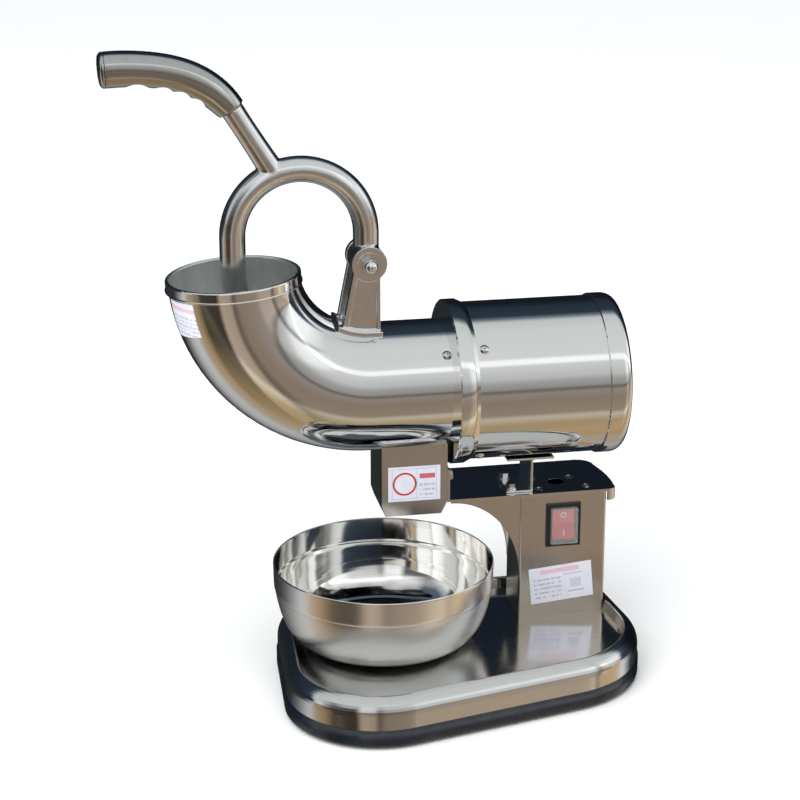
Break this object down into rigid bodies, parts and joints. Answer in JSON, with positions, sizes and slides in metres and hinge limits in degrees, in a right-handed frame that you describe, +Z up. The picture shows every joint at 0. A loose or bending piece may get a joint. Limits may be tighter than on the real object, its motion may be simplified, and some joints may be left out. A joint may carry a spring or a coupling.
{
  "type": "shaved ice machine",
  "caption": "Electric shaved ice machine with a bent polished feed tube, hand lever, motor drum, ice chute, switch column, base and loose bowl.",
  "frame": {"origin": "on the surface that the feet stand on, under the middle of the overall envelope", "axes": "+Z up, +X towards the motor end, -Y towards the operator"},
  "size_m": [0.4434, 0.2602, 0.5426],
  "materials": {
    "black_pan": "satin black",
    "mirror_steel": "mirror polished stainless steel",
    "satin_steel": "spun satin outside, polished inside",
    "rubber": "matt black rubber",
    "zinc_steel": "bright zinc plated",
    "black_plastic": "fine grained black",
    "red_plastic": "glossy red",
    "clear_plastic": "clear flexible",
    "white_plastic": "white",
    "label_film": "printed film",
    "lamination_steel": "varnished laminations",
    "copper_winding": "enamelled copper",
    "cast_aluminium": "satin, hand polished casting",
    "blade_steel": "ground"
  },
  "bodies": {
    "root": {"base_pan": "black_pan", "base_cover": "mirror_steel", "rubber_feet": "rubber", "foot_screws": "zinc_steel", "base_spacers": "zinc_steel", "clinch_nuts": "zinc_steel", "cable_gland": "black_plastic", "column_box": "mirror_steel", "column_screws": "zinc_steel", "column_gussets": "mirror_steel", "platform": "mirror_steel", "platform_bolts": "zinc_steel", "motor_bracket": "mirror_steel", "bracket_bolts": "zinc_steel", "switch_housing": "black_plastic", "switch_cover": "clear_plastic", "rating_label": "label_film", "chute_label": "label_film", "run_capacitor": "white_plastic", "capacitor_clip": "zinc_steel", "hopper_tube": "mirror_steel", "hopper_label": "label_film", "ice_chute": "mirror_steel", "collar_flange": "mirror_steel", "collar_screws": "zinc_steel", "motor_housing": "mirror_steel", "end_cap": "mirror_steel", "cap_screws": "zinc_steel", "motor_stator": "lamination_steel", "stator_windings": "copper_winding", "front_bearing": "zinc_steel", "rear_bearing": "zinc_steel", "front_plate": "cast_aluminium", "shaft_seal": "rubber", "rear_plate": "cast_aluminium", "pivot_bracket": "cast_aluminium", "saddle_screws": "zinc_steel", "pivot_bolt": "zinc_steel", "pivot_washers": "zinc_steel", "pivot_nut": "zinc_steel"},
    "lever": {"feed_lever": "cast_aluminium", "lever_grip": "cast_aluminium", "grip_end_cap": "cast_aluminium", "pusher_plate": "cast_aluminium", "pusher_screw": "zinc_steel"},
    "rotor": {"motor_rotor": "lamination_steel", "motor_shaft": "zinc_steel", "cooling_fan": "black_plastic", "cutter_disc": "cast_aluminium", "cutter_blades": "blade_steel", "blade_screws": "zinc_steel", "cutter_nut": "zinc_steel"},
    "rocker": {"switch_rocker": "red_plastic"},
    "bowl": {"ice_bowl": "satin_steel"}
  },
  "joints": [
    {"name": "lever_pivot", "type": "hinge", "parent": "root", "child": "lever", "pos_m": [-0.0049, 0.0591, 0.361], "axis": [0, -1, 0], "range_deg": [-65, 42]},
    {"name": "rotor_spin", "type": "hinge", "parent": "root", "child": "rotor", "pos_m": [0.0651, 0.0591, 0.2485], "axis": [1, 0, 0], "continuous": true},
    {"name": "rocker_tilt", "type": "hinge", "parent": "root", "child": "rocker", "pos_m": [0.1646, 0.0376, 0.119], "axis": [1, 0, 0], "range_deg": [0, 16]},
    {"name": "bowl_lift", "type": "slide", "parent": "root", "child": "bowl", "axis": [0, 0, 1], "range_m": [0, 0.025]}
  ]
}
